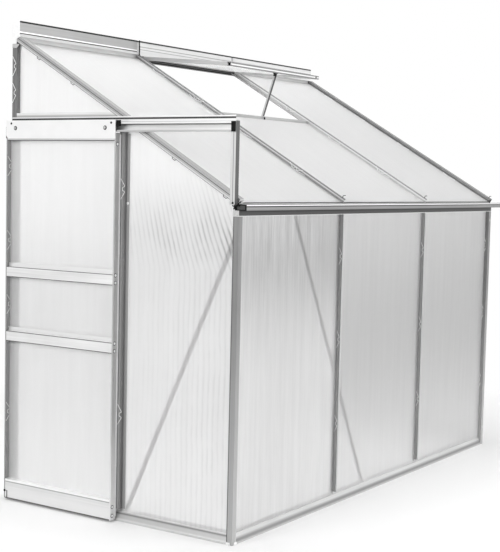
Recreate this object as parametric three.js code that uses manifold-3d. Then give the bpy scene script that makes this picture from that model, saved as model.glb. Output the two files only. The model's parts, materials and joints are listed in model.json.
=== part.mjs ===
// Lean-to greenhouse: aluminium frame, twin-wall sheets, sliding gable door, hinged roof window.
// Millimetres, +Z up. The long front runs along X, the wall it leans on is at +Y,
// and the gable with the door faces -X.
import * as THREE from 'three';
import { mergeVertices } from 'three/addons/utils/BufferGeometryUtils.js';
import Module from 'manifold-3d';

const wasm = await Module();
wasm.setup();

// overall sizes
const length = 2520;
const depth = 1230;
const roofFront = 1390;
const roofBack = 2095;
const bays = 3;

// fits
const fit = 0.3;
const overrun = 5;

// bars and sheets
const skin = 2.5;
const tube = 28;
const barDeep = 28;
const stemThick = 3;
const headWide = 8;
const headDeep = 3;
const flangeWide = 36;
const sheet = 6;

// base rail
const baseTall = 38;
const baseLip = 9;
const baseLedge = 17;
const baseUpstand = 15;

// eave and gutter
const eaveTall = 38;
const gutterDeep = 52;
const gutterRise = 24;
const gutterTall = 25;
const gutterOverhang = 26;
const gutterRim = 4;
const gutterCapThick = 5;
const sheetOverhang = 26;
const rafterOverhang = 4;

// ridge
const ridgeDeep = 26;
const ridgeFaceTall = 62;
const ridgeDrop = 40;
const coverLip = 17;
const coverJoint = 3;

// gable with the door
const trackDeep = 34;
const trackTall = 40;
const trackFlangeTall = 26;
const trackLap = 9;
const trackLip = 7;
const trackEnd = 4;
const trackCapLong = 15;
const supportWide = 24;
const supportDeep = 24;
const supportPlace = 6;
const supportWeb = 3;
const supportSeat = 5;
const supportRise = 3;

// door
const doorWide = 624;
const doorLap = 20;
const doorFoot = 7;
const doorHang = 4;
const doorGap = 3;
const doorDeep = 34;
const stileLip = 6;
const stileSeat = 16;
const railFace = 46;
const railUpstand = 18;
const railUpstandPlace = 17.5;
const railLowPlace = 722;
const railHighPlace = 1010;
const kickTall = 88;
const topRailTall = 34;
const plateThick = 3;
const plateRise = 10;
const plateTall = 78;
const plateNotch = 12;
const rollerRadius = 14;
const rollerThick = 10;
const rollerPin = 4;
const rollerInset = 56;
const rollerBack = 8;
const grooveDeep = 2;

// roof window
const windowOpen = 25;
const windowLong = 555;
const windowInset = 12;
const windowAbove = 4;
const windowBelow = 14;
const windowBar = 16;
const windowEdge = 22;
const windowHead = 20;
const hingeOut = 10;
const beadRadius = 3;
const hookWall = 2.5;
const hingeNeck = 2;
const hingePlateDrop = 7;
const hookStartAngle = 55;
const hookEndAngle = 305;
const sillWide = 16;
const sillTop = 9;
const sillGap = 2;
const stayLong = 224;
const stayWide = 16;
const stayThick = 3;
const stayGap = 1.6;
const stayInset = 10;
const stayEye = 8;
const bracketWide = 26;
const bracketThick = 3;
const bracketDrop = 12;
const pinRadius = 2.5;

// right gable and braces
const midPostShare = 0.5;
const braceWide = 20;
const braceThick = 3;
const braceEnd = 12;
const gableBraceInset = 13;
const gableBraceDrop = 98;
const gableBraceOut = 9;
const frontBraceShares = [0.54, 1.354];
const braceFoot = 30;
const frontBraceRise = 16;

// curve steps
const roundSteps = 20;
const rollerSteps = 28;

// the roof's slope and the planes that follow it
const slope = (roofBack - roofFront) / depth;
const pitch = Math.atan(slope);
const alongSlope = Math.cos(pitch);
const downSlope = Math.sin(pitch);
const seat = barDeep - skin;
const ridgeFace = depth - ridgeDeep;
const bay = length / bays;
const wallInner = depth - tube;
const roofAt = (y) => roofFront + slope * y;
const rafterUnder = (y) => roofAt(y) - barDeep / alongSlope;
const ridgeHeight = roofAt(ridgeFace) + ridgeFaceTall;
const ridgeBottom = roofAt(ridgeFace) - ridgeDrop;
const eaveBottom = rafterUnder(0) - eaveTall;
const gutterFloor = eaveBottom + gutterRise;
const gutterTop = gutterFloor + gutterTall;
const midPostPlace = depth * midPostShare;

// the door hangs by the wall and laps the post; the track hangs on the bar over it
const doorPlace = depth - trackEnd - doorWide;
const doorPostPlace = doorPlace - doorLap;
const crossBottom = rafterUnder(doorPostPlace + tube) + fit;
const crossTop = crossBottom + tube;
const trackFlangeTop = crossBottom + trackLap;
const trackTop = trackFlangeTop - trackFlangeTall;
const trackFloor = trackTop - trackTall;
const doorTop = trackFloor - doorHang;
const plateTop = trackTop + plateRise;
const plateFoot = plateTop - plateTall;

const finish = {
  aluminium: { color: 0xb4b6b8, roughness: 0.42, metalness: 0.85 },
  sheet: { color: 0xe6e9ea, roughness: 0.35, metalness: 0 },
  plastic: { color: 0x1d1d1f, roughness: 0.6, metalness: 0 },
  steel: { color: 0xc9cbcd, roughness: 0.3, metalness: 0.95 },
};

const group = new THREE.Group();
const house = new THREE.Group();
group.add(house);

// one named piece with its own material
function piece(parent, name, geometry, look) {
  const mesh = new THREE.Mesh(geometry, new THREE.MeshStandardMaterial(finish[look]));
  mesh.name = name;
  parent.add(mesh);
  return mesh;
}

// lays a piece so that its own x, y and z run along the given directions
function lay(mesh, across, inward, run, place) {
  const frame = new THREE.Matrix4().makeBasis(across, inward, run);
  mesh.quaternion.setFromRotationMatrix(frame);
  mesh.position.copy(place);
  return mesh;
}

const point = (x, y, z) => new THREE.Vector3(x, y, z);
const right = point(1, 0, 0);
const left = point(-1, 0, 0);
const back = point(0, 1, 0);
const front = point(0, -1, 0);
const up = point(0, 0, 1);
const upRoof = point(0, alongSlope, downSlope);
const intoRoof = point(0, downSlope, -alongSlope);

// a place on the roof: x, distance down the slope from the ridge's face, depth below the surface
function onRoof(x, down, inward) {
  return point(
    x,
    ridgeFace - alongSlope * down + downSlope * inward,
    roofAt(ridgeFace) - downSlope * down - alongSlope * inward,
  );
}
const eaveDown = ridgeFace / alongSlope;

function outline(points, hole) {
  const shape = new THREE.Shape(points.map(([u, v]) => new THREE.Vector2(u, v)));
  if (hole) {
    shape.holes.push(new THREE.Path(hole.map(([u, v]) => new THREE.Vector2(u, v))));
  }
  return shape;
}

function extrude(shape, long, steps = roundSteps) {
  return new THREE.ExtrudeGeometry(shape, { depth: long, bevelEnabled: false, curveSegments: steps });
}

// cuts an extruded bar's two ends on a slope: the length changes by slope times the v size
function mitre(geometry, long, startSlope, endSlope) {
  const spots = geometry.attributes.position;
  for (let i = 0; i < spots.count; i += 1) {
    const tilt = spots.getZ(i) > long / 2 ? endSlope : startSlope;
    spots.setZ(i, spots.getZ(i) + tilt * spots.getY(i));
  }
  geometry.computeVertexNormals();
  return geometry;
}

function toSolid(geometry) {
  const bare = geometry.index ? geometry.toNonIndexed() : geometry.clone();
  bare.deleteAttribute('normal');
  bare.deleteAttribute('uv');
  const merged = mergeVertices(bare, fit / 1000);
  return new wasm.Manifold(new wasm.Mesh({
    numProp: 3,
    vertProperties: new Float32Array(merged.attributes.position.array),
    triVerts: new Uint32Array(merged.index.array),
  }));
}

function toGeometry(solid) {
  const mesh = solid.getMesh();
  const geometry = new THREE.BufferGeometry();
  geometry.setAttribute('position', new THREE.BufferAttribute(mesh.vertProperties, 3));
  geometry.setIndex(new THREE.BufferAttribute(mesh.triVerts, 1));
  geometry.computeVertexNormals();
  return geometry;
}

function joined(first, ...others) {
  return toGeometry(others.reduce((sum, next) => sum.add(toSolid(next)), toSolid(first)));
}

function cut(first, ...others) {
  return toGeometry(others.reduce((sum, next) => sum.subtract(toSolid(next)), toSolid(first)));
}

// a box from its low corner and its sizes
function block(x, y, z, wide, deep, tall) {
  const geometry = new THREE.BoxGeometry(wide, deep, tall);
  geometry.translate(x + wide / 2, y + deep / 2, z + tall / 2);
  return geometry;
}

// a round bar along x
function roundAlongX(radius, long, x, y, z, steps = roundSteps) {
  const geometry = new THREE.CylinderGeometry(radius, radius, long, steps);
  geometry.rotateZ(-Math.PI / 2);
  geometry.translate(x + long / 2, y, z);
  return geometry;
}

// square tube, u and v from 0 to its size
function tubeShape(wide = tube, deep = tube) {
  return outline(
    [[0, 0], [wide, 0], [wide, deep], [0, deep]],
    [[skin, skin], [skin, deep - skin], [wide - skin, deep - skin], [wide - skin, skin]],
  );
}

// glazing bar: outer head, stem, and the flange that the sheets lie on
function glazingShape() {
  const stem = stemThick / 2;
  const head = headWide / 2;
  const flange = flangeWide / 2;
  return outline([
    [-head, 0], [head, 0], [head, headDeep], [stem, headDeep], [stem, seat], [flange, seat],
    [flange, barDeep], [-flange, barDeep], [-flange, seat], [-stem, seat], [-stem, headDeep],
    [-head, headDeep],
  ]);
}

// base rail: outer lip, weathered slope, ledge and the upstand behind the sheet; u inward, v up
function baseShape() {
  const inner = barDeep - skin;
  return outline([
    [0, 0], [skin, 0], [skin, baseLip - skin], [baseLedge, baseTall - skin], [inner, baseTall - skin],
    [inner, 0], [barDeep, 0], [barDeep, baseTall + baseUpstand], [inner, baseTall + baseUpstand],
    [inner, baseTall], [baseLedge, baseTall], [0, baseLip],
  ]);
}

function flatSheet(points) {
  return extrude(outline(points), sheet);
}

// base rails between the posts
function addBase() {
  const long = length - 2 * (tube + fit);
  lay(piece(house, 'base_front', extrude(baseShape(), long), 'aluminium'),
    back, up, right, point(tube + fit, 0, 0));
  const side = wallInner - tube - 2 * fit;
  lay(piece(house, 'base_gable_left', extrude(baseShape(), side), 'aluminium'),
    right, up, front, point(0, wallInner - fit, 0));
  lay(piece(house, 'base_gable_right', extrude(baseShape(), side), 'aluminium'),
    left, up, back, point(length, tube + fit, 0));
}

// square posts at the four corners
function addPosts() {
  for (const [side, x] of [['left', 0], ['right', length - tube]]) {
    piece(house, `corner_post_${side}`, extrude(tubeShape(), eaveBottom - fit), 'aluminium')
      .position.set(x, 0, 0);
    piece(house, `wall_post_${side}`, extrude(tubeShape(), ridgeBottom - fit), 'aluminium')
      .position.set(x, wallInner, 0);
  }
}

// upright glazing bars of the front
function addStuds() {
  const foot = baseTall + baseUpstand + fit;
  const long = eaveBottom - fit - foot;
  for (let i = 1; i < bays; i += 1) {
    lay(piece(house, `stud_front_${i}`, extrude(glazingShape(), long), 'aluminium'),
      right, back, up, point(i * bay, 0, foot));
  }
}

// beam along the top of the front, with its top cut to the roof's slope
function addEave() {
  const low = rafterUnder(0) - fit;
  const high = rafterUnder(barDeep) - fit;
  const shape = outline(
    [[0, eaveBottom], [barDeep, eaveBottom], [barDeep, high], [0, low]],
    [
      [skin, eaveBottom + skin], [skin, low - skin + slope * skin],
      [barDeep - skin, high - skin - slope * skin], [barDeep - skin, eaveBottom + skin],
    ],
  );
  lay(piece(house, 'eave_beam', extrude(shape, length), 'aluminium'), back, up, right, point(0, 0, 0));
}

// gutter on the beam's face, with a rolled rim and a plug at each end
function addGutter() {
  const rise = rafterUnder(0) - fit;
  const shape = outline([
    [0, gutterFloor], [0, rise], [-skin, rise], [-skin, gutterFloor + skin],
    [skin - gutterDeep, gutterFloor + skin], [skin - gutterDeep, gutterTop - skin],
    [skin + gutterRim - gutterDeep, gutterTop - skin], [skin + gutterRim - gutterDeep, gutterTop],
    [-gutterDeep, gutterTop], [-gutterDeep, gutterFloor],
  ]);
  const long = length + 2 * gutterOverhang;
  lay(piece(house, 'gutter', extrude(shape, long), 'aluminium'),
    back, up, right, point(-gutterOverhang, 0, 0));
  const cap = outline([
    [0, gutterFloor], [0, rise], [-gutterDeep / 2, gutterTop], [-gutterDeep, gutterTop],
    [-gutterDeep, gutterFloor],
  ]);
  const places = { left: -gutterOverhang - gutterCapThick, right: length + gutterOverhang };
  for (const [side, x] of Object.entries(places)) {
    lay(piece(house, `gutter_cap_${side}`, extrude(cap, gutterCapThick), 'plastic'),
      back, up, right, point(x, 0, 0));
  }
}

// wall plate along the ridge, and the cover strips over the two fixed bays
function addRidge() {
  const shape = outline(
    [[ridgeFace, ridgeBottom], [depth, ridgeBottom], [depth, ridgeHeight], [ridgeFace, ridgeHeight]],
    [
      [ridgeFace + skin, ridgeBottom + skin], [ridgeFace + skin, ridgeHeight - skin],
      [depth - skin, ridgeHeight - skin], [depth - skin, ridgeBottom + skin],
    ],
  );
  lay(piece(house, 'ridge_bar', extrude(shape, length), 'aluminium'), back, up, right, point(0, 0, 0));
  const face = ridgeFace - skin;
  const end = face - coverLip * alongSlope;
  const under = (y) => roofAt(y) + fit / alongSlope;
  const thick = skin / alongSlope;
  const strip = outline([
    [ridgeFace, under(ridgeFace)], [ridgeFace, ridgeHeight], [face, ridgeHeight],
    [face, under(face) + thick], [end, under(end) + thick], [end, under(end)],
  ]);
  const long = bay - coverJoint;
  const places = { ridge_cover_1: 0, ridge_cover_3: length - long };
  for (const [name, x] of Object.entries(places)) {
    lay(piece(house, name, extrude(strip, long), 'aluminium'), back, up, right, point(x, 0, 0));
  }
}

// roof bars: square ones over the gables, glazing bars between the bays
function addRafters() {
  const long = eaveDown + rafterOverhang - fit;
  const gable = () => mitre(extrude(tubeShape(), long), long, 0, -slope);
  const down = long + fit;
  lay(piece(house, 'rafter_gable_left', gable(), 'aluminium'),
    right, intoRoof, upRoof, onRoof(0, down, 0));
  lay(piece(house, 'rafter_gable_right', gable(), 'aluminium'),
    right, intoRoof, upRoof, onRoof(length - tube, down, 0));
  for (let i = 1; i < bays; i += 1) {
    const bar = mitre(extrude(glazingShape(), long), long, 0, -slope);
    lay(piece(house, `rafter_${i}`, bar, 'aluminium'), right, intoRoof, upRoof, onRoof(i * bay, down, 0));
  }
}

// post beside the door, cut under the rafter, and the bar over the door
function addDoorPost() {
  const foot = baseTall + baseUpstand + fit;
  const top = rafterUnder(doorPostPlace) - fit / alongSlope;
  const long = top - foot;
  const post = mitre(extrude(tubeShape(), long), long, 0, slope);
  piece(house, 'door_post', post, 'aluminium').position.set(0, doorPostPlace, foot);
  const start = wallInner - fit;
  const end = (crossBottom + fit / alongSlope - rafterUnder(0)) / slope;
  const run = start - end;
  const bar = mitre(extrude(tubeShape(), run), run, 0, -1 / slope);
  lay(piece(house, 'gable_crossbar', bar, 'aluminium'), right, up, front, point(0, start, crossBottom));
}

// channel that the door rolls in: back flange, floor with a lip, top with a lip; u inward, v up
function addTrack() {
  const shape = outline([
    [trackDeep, trackFloor], [trackDeep, trackFlangeTop], [trackDeep - skin, trackFlangeTop],
    [trackDeep - skin, trackTop], [0, trackTop], [0, trackTop - trackLip], [skin, trackTop - trackLip],
    [skin, trackTop - skin], [trackDeep - skin, trackTop - skin], [trackDeep - skin, trackFloor + skin],
    [skin, trackFloor + skin], [skin, trackFloor + trackLip], [0, trackFloor + trackLip],
    [0, trackFloor],
  ]);
  const start = depth - trackEnd;
  const capStart = supportPlace + supportWeb + fit;
  const end = capStart + trackCapLong;
  lay(piece(house, 'door_track', extrude(shape, start - end), 'aluminium'),
    right, up, front, point(-trackDeep, start, 0));
  piece(house, 'track_cap', block(
    -trackDeep, capStart, trackFloor, trackDeep, trackCapLong - fit, trackTop - trackFloor,
  ), 'plastic');
}

// upright that carries the track's free end, screwed to the rafter's outer face
function addTrackSupport() {
  const low = supportPlace;
  const high = supportPlace + supportWide;
  const web = supportPlace + supportWeb;
  const supportFoot = rafterUnder(supportPlace) + supportSeat;
  const side = outline([
    [low, supportFoot], [high, supportFoot], [high, trackFloor - fit], [web, trackFloor - fit],
    [web, trackTop + supportRise], [low, trackTop + supportRise],
  ]);
  const hollow = outline([
    [low + skin, supportFoot - overrun], [high - skin, supportFoot - overrun],
    [high - skin, trackFloor - fit - skin], [low + skin, trackFloor - fit - skin],
  ]);
  const outer = extrude(side, supportDeep);
  const inner = extrude(hollow, supportDeep - 2 * skin);
  inner.translate(0, 0, skin);
  lay(piece(house, 'track_support', cut(outer, inner), 'aluminium'),
    back, up, right, point(-supportDeep, 0, 0));
}

// glazing bar in the middle of the far gable
function addMidPost() {
  const foot = baseTall + baseUpstand + fit;
  const low = rafterUnder(midPostPlace - flangeWide / 2) - fit;
  lay(piece(house, 'stud_gable_right', extrude(glazingShape(), low - foot), 'aluminium'),
    back, left, up, point(length, midPostPlace, foot));
}

// flat diagonal bars on the inside, from hole to hole
function addBraces() {
  const flat = (name, from, to, across) => {
    const run = new THREE.Vector3().subVectors(to, from);
    const long = run.length() + 2 * braceEnd;
    run.normalize();
    const side = new THREE.Vector3().crossVectors(across, run);
    const bar = block(-braceWide / 2, 0, -braceEnd, braceWide, braceThick, long);
    lay(piece(house, name, bar, 'aluminium'), side, across, run, from);
  };
  const inner = tube + fit;
  flat('brace_gable', point(inner, doorPostPlace - gableBraceOut, braceFoot),
    point(inner, tube + gableBraceInset, eaveBottom - gableBraceDrop), right);
  const [topShare, footShare] = frontBraceShares;
  flat('brace_front', point(footShare * bay, inner, braceFoot),
    point(topShare * bay, inner, eaveBottom + frontBraceRise), back);
}

// fixed sheets of the front, the gables and the roof
function addSheets() {
  const low = baseTall + fit;
  const high = eaveBottom - fit;
  const plane = seat - fit - sheet;
  const stem = stemThick / 2 + fit;
  for (let i = 1; i <= bays; i += 1) {
    const from = i === 1 ? tube + fit : (i - 1) * bay + stem;
    const to = i === bays ? length - tube - fit : i * bay - stem;
    piece(house, `sheet_front_${i}`, block(from, plane, low, to - from, sheet, high - low), 'sheet');
  }
  const under = (y) => rafterUnder(y) - fit / alongSlope;
  const gableSheet = (name, from, to, foot, x) => {
    const cornerY = Math.max(from, (foot - under(0)) / slope);
    const points = [[cornerY, foot], [to, foot], [to, under(to)]];
    if (under(from) > foot) {
      points.push([from, under(from)]);
    }
    lay(piece(house, name, flatSheet(points), 'sheet'), back, up, right, point(x, 0, 0));
  };
  const inner = tube + fit;
  gableSheet('sheet_gable_left', inner, doorPostPlace - fit, low, plane);
  gableSheet('sheet_over_door', doorPostPlace + inner, wallInner - fit, crossTop + fit, plane);
  const far = length - plane - sheet;
  gableSheet('sheet_gable_right_1', inner, midPostPlace - stem, low, far);
  gableSheet('sheet_gable_right_2', midPostPlace + stem, wallInner - fit, low, far);
  const top = seat * slope + fit;
  const end = eaveDown + sheetOverhang;
  const bottomDown = windowDown() + sillGap + sillWide + fit;
  for (let i = 1; i <= bays; i += 1) {
    const from = i === 1 ? tube + fit : (i - 1) * bay + stem;
    const to = i === bays ? length - tube - fit : i * bay - stem;
    const start = i === 2 ? bottomDown : top;
    const slab = block(0, plane, 0, to - from, sheet, end - start);
    lay(piece(house, `sheet_roof_${i}`, slab, 'sheet'), right, intoRoof, upRoof, onRoof(from, end, 0));
  }
}

// the window's hinge line: its height, and how far down the roof its free edge comes when shut
function hingeHeight() {
  return roofAt(ridgeFace - hingeOut) - (seat - fit - windowBelow) / alongSlope;
}

function windowDown() {
  const fall = roofAt(ridgeFace) - hingeHeight();
  return hingeOut * alongSlope + fall * downSlope + windowLong;
}

// hinge strip on the ridge's face: plate, neck and round bead
function addHingeRail() {
  const height = hingeHeight();
  const inset = flangeWide / 2 + fit;
  const long = bay - 2 * inset;
  const plate = block(0, ridgeFace - skin, height - hingePlateDrop, long, skin,
    ridgeHeight - height + hingePlateDrop);
  const neck = block(0, ridgeFace - hingeOut, height - hingeNeck / 2, long, hingeOut - skin / 2, hingeNeck);
  const bead = roundAlongX(beadRadius, long, 0, ridgeFace - hingeOut, height);
  piece(house, 'window_hinge_rail', joined(plate, neck, bead), 'aluminium').position.x = bay + inset;
}

// sill across the bay, on the flanges, where the window shuts
function addSill() {
  const stem = stemThick / 2 + fit;
  const shape = outline([
    [0, sillTop], [skin, sillTop], [skin, seat - fit - skin], [sillWide, seat - fit - skin],
    [sillWide, seat - fit], [0, seat - fit],
  ]);
  const bar = extrude(shape, bay - 2 * stem);
  const down = windowDown() + sillGap;
  const downRoof = point(0, -alongSlope, -downSlope);
  lay(piece(house, 'window_sill', bar, 'aluminium'), downRoof, intoRoof, right,
    onRoof(bay + stem, down, 0));
}

// roof window: hooked head bar, two sides, bottom bar, sheet and the stay's bracket
function addWindow() {
  const leaf = new THREE.Group();
  leaf.position.set(bay + windowInset, ridgeFace - hingeOut, hingeHeight());
  leaf.rotation.x = pitch - THREE.MathUtils.degToRad(windowOpen);
  house.add(leaf);
  const wide = bay - 2 * windowInset;
  const deep = windowAbove + windowBelow;
  const ring = beadRadius + fit;
  const rim = ring + hookWall;
  const hook = new THREE.Shape();
  const turn = THREE.MathUtils.degToRad;
  hook.absarc(0, 0, rim, turn(hookStartAngle), turn(hookEndAngle), false);
  hook.absarc(0, 0, ring, turn(hookEndAngle), turn(hookStartAngle), true);
  hook.closePath();
  const hinge = flangeWide / 2 + 2 * fit - windowInset;
  const roll = extrude(hook, wide - 2 * hinge);
  roll.translate(0, 0, hinge);
  const head = extrude(outline([
    [-ring - hookWall / 2, windowAbove], [-ring - windowHead, windowAbove],
    [-ring - windowHead, -windowBelow], [-rim - skin, -windowBelow], [-rim - skin, windowAbove - skin],
    [-ring - hookWall / 2, windowAbove - skin],
  ].reverse()), wide);
  lay(piece(leaf, 'window_head_bar', joined(head, roll), 'aluminium'), back, up, right, point(0, 0, 0));

  const headEnd = ring + windowHead;
  const bottomStart = windowLong - windowEdge;
  const sideLong = bottomStart - headEnd - 2 * fit;
  for (const [side, x] of [['left', 0], ['right', wide - windowBar]]) {
    const bar = extrude(tubeShape(windowBar, deep), sideLong);
    lay(piece(leaf, `window_side_${side}`, bar, 'aluminium'),
      left, up, back, point(x + windowBar, -bottomStart + fit, -windowBelow));
  }
  const edge = extrude(tubeShape(windowEdge, deep), wide);
  lay(piece(leaf, 'window_bottom_bar', edge, 'aluminium'),
    back, up, right, point(0, -windowLong, -windowBelow));
  const inner = windowBar + fit;
  const slab = block(inner, -bottomStart + fit, -sheet / 2, wide - 2 * inner, sideLong, sheet);
  piece(leaf, 'window_sheet', slab, 'sheet');
  addBracketAndStay(leaf, wide);
}

// bracket under the bottom bar with a pin, and the stay that hangs on the pin
function addBracketAndStay(leaf, wide) {
  const middle = wide / 2;
  const pinY = -windowLong + stayInset;
  const pinZ = -windowBelow - bracketDrop;
  const eye = stayEye;
  const foot = -windowBelow - fit - bracketThick;
  const cheekX = stayThick / 2 + fit;
  const plate = block(middle - bracketWide / 2, pinY - eye, foot, bracketWide, 2 * eye, bracketThick);
  const cheek = block(middle - cheekX - bracketThick, pinY - eye, pinZ - eye / 2,
    bracketThick, 2 * eye, foot - pinZ + eye / 2 + bracketThick / 2);
  const pin = roundAlongX(pinRadius, bracketThick / 2 + 2 * cheekX + pinRadius,
    middle - cheekX - bracketThick / 2, pinY, pinZ);
  piece(leaf, 'stay_bracket', joined(plate, cheek, pin), 'plastic');

  const stay = new THREE.Group();
  stay.position.set(middle - stayThick / 2, pinY, pinZ);
  stay.rotation.x = stayTilt(leaf, pinY, pinZ) - leaf.rotation.x;
  leaf.add(stay);
  const shape = new THREE.Shape();
  const half = stayWide / 2;
  shape.moveTo(half, 0);
  shape.absarc(0, 0, half, 0, Math.PI, false);
  shape.lineTo(-half, half - stayLong);
  shape.absarc(0, half - stayLong, half, Math.PI, 2 * Math.PI, false);
  shape.closePath();
  const hole = new THREE.Path();
  hole.absarc(0, 0, pinRadius + fit, 0, 2 * Math.PI, true);
  shape.holes.push(hole);
  lay(piece(stay, 'window_stay', extrude(shape, stayThick), 'aluminium'), back, up, right, point(0, 0, 0));
}

// how far the stay leans from plumb so that its edge just clears the sill's inner corner
function stayTilt(leaf, pinY, pinZ) {
  const pin = point(0, pinY, pinZ).applyEuler(leaf.rotation).add(leaf.position);
  const corner = onRoof(0, windowDown() + sillGap, seat);
  const reachY = corner.y - pin.y;
  const reachZ = pin.z - corner.z;
  const clear = stayWide / 2 + stayGap;
  return Math.atan2(reachY, reachZ) + Math.asin(clear / Math.hypot(reachY, reachZ));
}

// sliding door: stiles, rails, header plate, sheets and two rollers
function addDoor() {
  const door = new THREE.Group();
  const face = -doorGap - doorDeep;
  door.position.set(face, doorPlace, 0);
  house.add(door);
  const tall = doorTop - doorFoot;
  const stile = outline([
    [0, 0], [stileLip, 0], [stileLip, skin], [skin, skin], [skin, doorDeep - skin],
    [stileSeat, doorDeep - skin], [stileSeat, doorDeep], [0, doorDeep],
  ]);
  const mirrored = outline([
    [0, 0], [0, doorDeep], [-stileSeat, doorDeep], [-stileSeat, doorDeep - skin],
    [-skin, doorDeep - skin], [-skin, skin], [-stileLip, skin], [-stileLip, 0],
  ]);
  lay(piece(door, 'door_stile_left', extrude(stile, tall), 'aluminium'),
    front, right, up, point(0, doorWide, doorFoot));
  lay(piece(door, 'door_stile_right', extrude(mirrored, tall), 'aluminium'),
    front, right, up, point(0, 0, doorFoot));

  const web = doorDeep - skin - fit;
  const long = doorWide - 2 * (skin + fit);
  const lipped = (shape) => {
    const bar = extrude(shape, long);
    const notch = stileLip - skin;
    const nearEnd = block(-overrun, -overrun, -overrun, overrun + skin + fit,
      kickTall + 2 * overrun, overrun + notch);
    const farEnd = nearEnd.clone().translate(0, 0, long + overrun - notch + overrun - overrun);
    return cut(bar, nearEnd, farEnd);
  };
  const place = (name, shape, z) => lay(piece(door, name, lipped(shape), 'aluminium'),
    right, up, front, point(0, doorWide - skin - fit, z));
  const rail = outline([
    [0, 0], [skin, 0], [skin, railFace - skin], [web, railFace - skin], [web, railFace],
    [railUpstandPlace + skin, railFace], [railUpstandPlace + skin, railFace + railUpstand],
    [railUpstandPlace, railFace + railUpstand], [railUpstandPlace, railFace], [0, railFace],
  ]);
  place('door_rail_high', rail, railHighPlace);
  place('door_rail_low', rail, railLowPlace);
  const kick = outline([
    [0, 0], [web, 0], [web, skin], [skin, skin], [skin, kickTall - skin], [web, kickTall - skin],
    [web, kickTall], [0, kickTall],
  ]);
  place('door_kick_rail', kick, doorFoot);
  const topRail = outline([
    [0, 0], [skin, 0], [skin, topRailTall - skin], [web, topRailTall - skin], [web, topRailTall],
    [0, topRailTall],
  ]);
  place('door_top_rail', topRail, doorTop - topRailTall);

  const corner = [
    [0, plateFoot], [doorWide - plateNotch, plateFoot], [doorWide, plateFoot + plateNotch],
    [doorWide, plateTop], [0, plateTop],
  ];
  lay(piece(door, 'door_header_plate', extrude(outline(corner), plateThick), 'steel'),
    back, up, right, point(-plateThick, 0, 0));
  addDoorSheets(door, web);
  addRollers(door);
}

// three sheets, each resting on the rail under it
function addDoorSheets(door, web) {
  const seatPlane = doorDeep - skin - fit - sheet;
  const side = skin + fit;
  const levels = [doorFoot + kickTall, railLowPlace + railFace, railHighPlace + railFace];
  const tops = [railLowPlace + railFace - skin, railHighPlace + railFace - skin, doorTop - skin];
  const names = ['door_sheet_low', 'door_sheet_middle', 'door_sheet_high'];
  names.forEach((name, i) => {
    const low = levels[i] + fit;
    const high = tops[i] - fit;
    piece(door, name, block(seatPlane, side, low, sheet, doorWide - 2 * side, high - low), 'sheet');
  });
}

// grooved wheels on pins, running on the track's floor
function addRollers(door) {
  const height = trackFloor + skin + fit + rollerRadius;
  const pinLong = doorGap + doorDeep - fit - rollerThick - rollerBack;
  const wheel = [
    [0, 0], [rollerPin, 0], [rollerPin, pinLong], [rollerRadius, pinLong],
    [rollerRadius, pinLong + rollerThick / 4], [rollerRadius - grooveDeep, pinLong + rollerThick / 2],
    [rollerRadius, pinLong + rollerThick * 3 / 4], [rollerRadius, pinLong + rollerThick],
    [0, pinLong + rollerThick],
  ].map(([r, h]) => new THREE.Vector2(r, h));
  const names = { roller_left: doorWide - rollerInset, roller_right: rollerInset };
  for (const [name, y] of Object.entries(names)) {
    const geometry = new THREE.LatheGeometry(wheel, rollerSteps);
    geometry.rotateZ(-Math.PI / 2);
    piece(door, name, geometry, 'plastic').position.set(fit, y, height);
  }
}

addBase();
addPosts();
addStuds();
addEave();
addGutter();
addRidge();
addRafters();
addDoorPost();
addTrack();
addTrackSupport();
addMidPost();
addBraces();
addSheets();
addHingeRail();
addSill();
addWindow();
addDoor();

// the origin is the middle of the foot: half way along and half way deep over everything
group.updateMatrixWorld(true);
const reach = new THREE.Box3().setFromObject(group, true);
house.position.set(-(reach.min.x + reach.max.x) / 2, -(reach.min.y + reach.max.y) / 2, -reach.min.z);

export default group;
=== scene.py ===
import json
import math

import bmesh
import bpy
from mathutils import Euler, Matrix, Vector


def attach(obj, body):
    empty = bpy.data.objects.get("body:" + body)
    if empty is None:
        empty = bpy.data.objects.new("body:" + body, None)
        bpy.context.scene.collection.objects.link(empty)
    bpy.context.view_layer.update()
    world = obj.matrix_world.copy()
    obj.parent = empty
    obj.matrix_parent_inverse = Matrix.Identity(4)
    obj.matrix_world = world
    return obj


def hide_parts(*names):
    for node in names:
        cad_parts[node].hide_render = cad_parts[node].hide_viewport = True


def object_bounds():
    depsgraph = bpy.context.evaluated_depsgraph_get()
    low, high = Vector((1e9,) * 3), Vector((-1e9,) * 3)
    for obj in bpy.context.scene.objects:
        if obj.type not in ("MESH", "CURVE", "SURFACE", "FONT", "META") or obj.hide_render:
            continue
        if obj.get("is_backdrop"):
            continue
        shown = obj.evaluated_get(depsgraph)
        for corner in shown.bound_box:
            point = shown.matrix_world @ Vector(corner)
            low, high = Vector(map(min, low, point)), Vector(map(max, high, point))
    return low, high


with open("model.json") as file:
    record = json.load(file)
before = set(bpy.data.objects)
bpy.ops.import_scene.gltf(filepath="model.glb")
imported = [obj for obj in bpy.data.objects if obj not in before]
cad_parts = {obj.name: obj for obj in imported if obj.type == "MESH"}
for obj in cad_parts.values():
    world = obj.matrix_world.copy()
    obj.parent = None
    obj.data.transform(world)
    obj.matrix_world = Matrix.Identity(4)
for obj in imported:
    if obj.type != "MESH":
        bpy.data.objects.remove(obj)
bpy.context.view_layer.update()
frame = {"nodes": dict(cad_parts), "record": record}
parts = frame["nodes"]
print("frame loaded:", len(parts), "nodes")


def grey(shade):
    # a screen shade from 0 to 255 as a linear colour
    level = (shade / 255) ** 2.2
    return (level, level, level, 1)


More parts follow.
